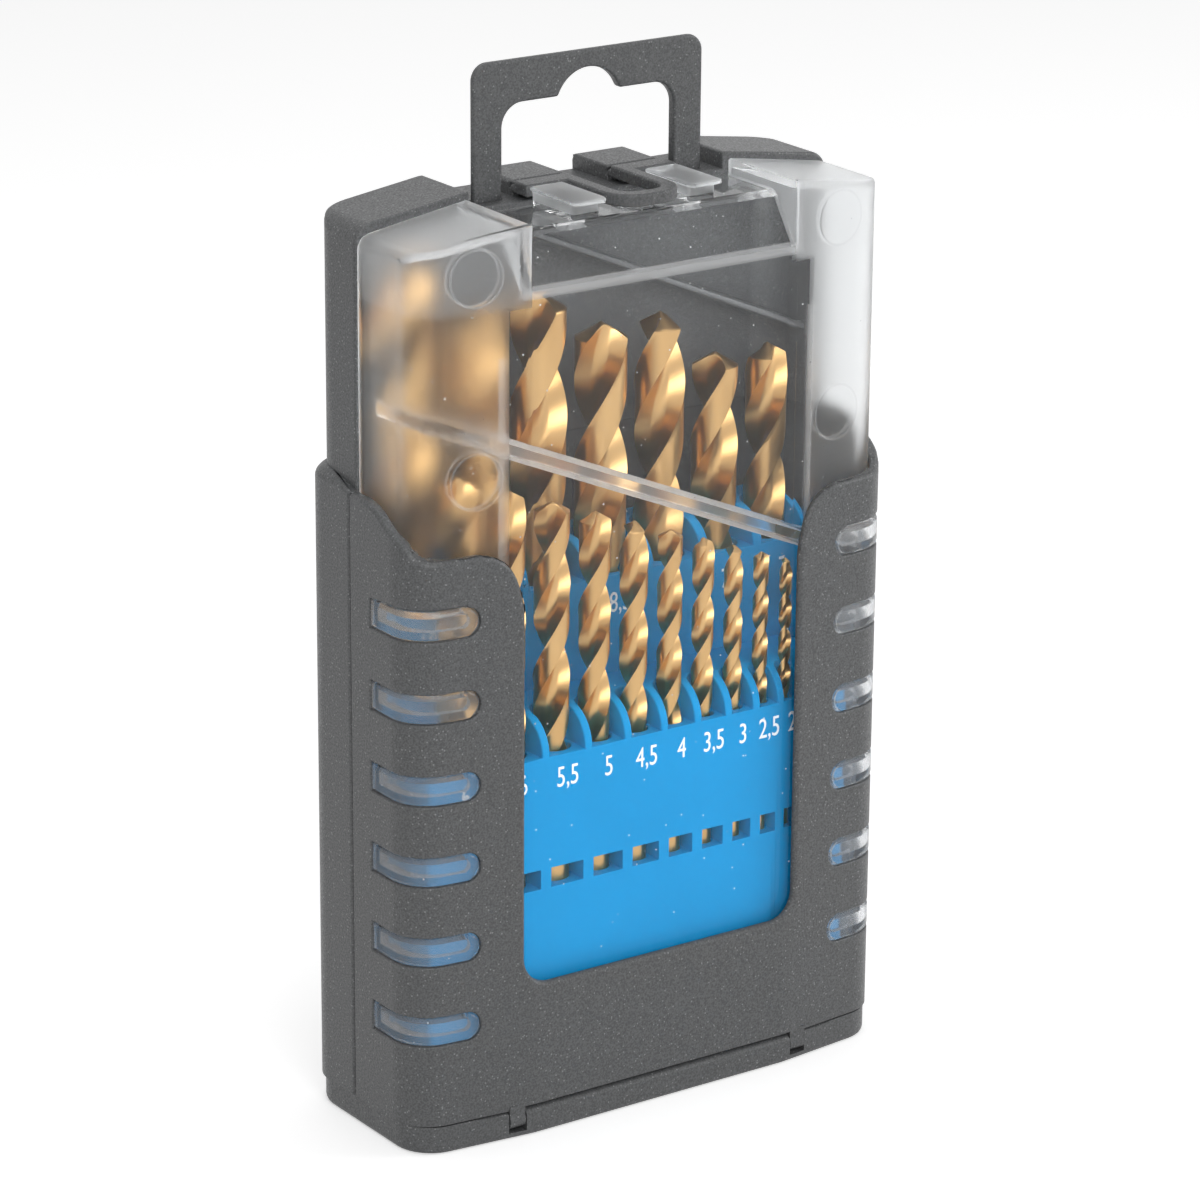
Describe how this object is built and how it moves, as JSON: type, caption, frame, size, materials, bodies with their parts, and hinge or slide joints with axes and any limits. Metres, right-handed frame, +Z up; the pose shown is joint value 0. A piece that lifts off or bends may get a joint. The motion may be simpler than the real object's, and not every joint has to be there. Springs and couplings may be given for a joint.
{
  "type": "drill bit case",
  "caption": "Upright hinged plastic case for twist drill bits, with a clear lid, a leaning two-tier bit holder, a latch loop and a sliding hang-up bar.",
  "frame": {"origin": "middle of the case's width, at the parting plane between back shell and lid, on the standing face", "axes": "+X to the right seen from the front, +Y towards the back, +Z up"},
  "size_m": [0.09, 0.0334, 0.1646],
  "materials": {
    "case_grey": "fine spark texture with light flecks",
    "clear_plastic": "clear, frosted at the sides",
    "holder_blue": "smooth satin",
    "gold_coating": "gold coloured hard coating on ground steel",
    "pin_steel": "drawn wire"
  },
  "bodies": {
    "shell": {"back_shell": "case_grey", "base": "case_grey", "hinge_pin_left": "pin_steel", "hinge_pin_right": "pin_steel"},
    "lid": {"lid": "clear_plastic", "lid_grip": "case_grey"},
    "hanger": {"hanger": "case_grey"},
    "latch": {"latch_loop": "case_grey"},
    "holder": {"front_holder": "holder_blue", "rear_holder": "holder_blue", "drill_bit_6_5": "gold_coating", "drill_bit_6_0": "gold_coating", "drill_bit_5_5": "gold_coating", "drill_bit_5_0": "gold_coating", "drill_bit_4_5": "gold_coating", "drill_bit_4_0": "gold_coating", "drill_bit_3_5": "gold_coating", "drill_bit_3_0": "gold_coating", "drill_bit_2_5": "gold_coating", "drill_bit_2_0": "gold_coating", "drill_bit_1_5": "gold_coating", "drill_bit_1_0": "gold_coating", "drill_bit_10_0": "gold_coating", "drill_bit_9_5": "gold_coating", "drill_bit_9_0": "gold_coating", "drill_bit_8_5": "gold_coating", "drill_bit_8_0": "gold_coating", "drill_bit_7_5": "gold_coating", "drill_bit_7_0": "gold_coating"}
  },
  "joints": [
    {"name": "lid_hinge", "type": "hinge", "parent": "shell", "child": "lid", "pos_m": [0, -0.0174, 0.0029], "axis": [1, 0, 0], "range_deg": [0, 90]},
    {"name": "holder_tilt", "type": "hinge", "parent": "shell", "child": "holder", "pos_m": [0, -0.0115, 0.006], "axis": [1, 0, 0], "range_deg": [0, 25.2]},
    {"name": "hanger_slide", "type": "slide", "parent": "shell", "child": "hanger", "axis": [0, 0, 1], "range_m": [-0.0112, 0]},
    {"name": "latch_flex", "type": "hinge", "parent": "shell", "child": "latch", "pos_m": [0, 0.003, 0.14475], "axis": [1, 0, 0], "range_deg": [-12, 0], "stiffness_Nm_per_rad": 0.03}
  ],
  "couplings": [
    {"joint": "holder_tilt", "follows": "lid_hinge", "ratio": 0.28}
  ]
}
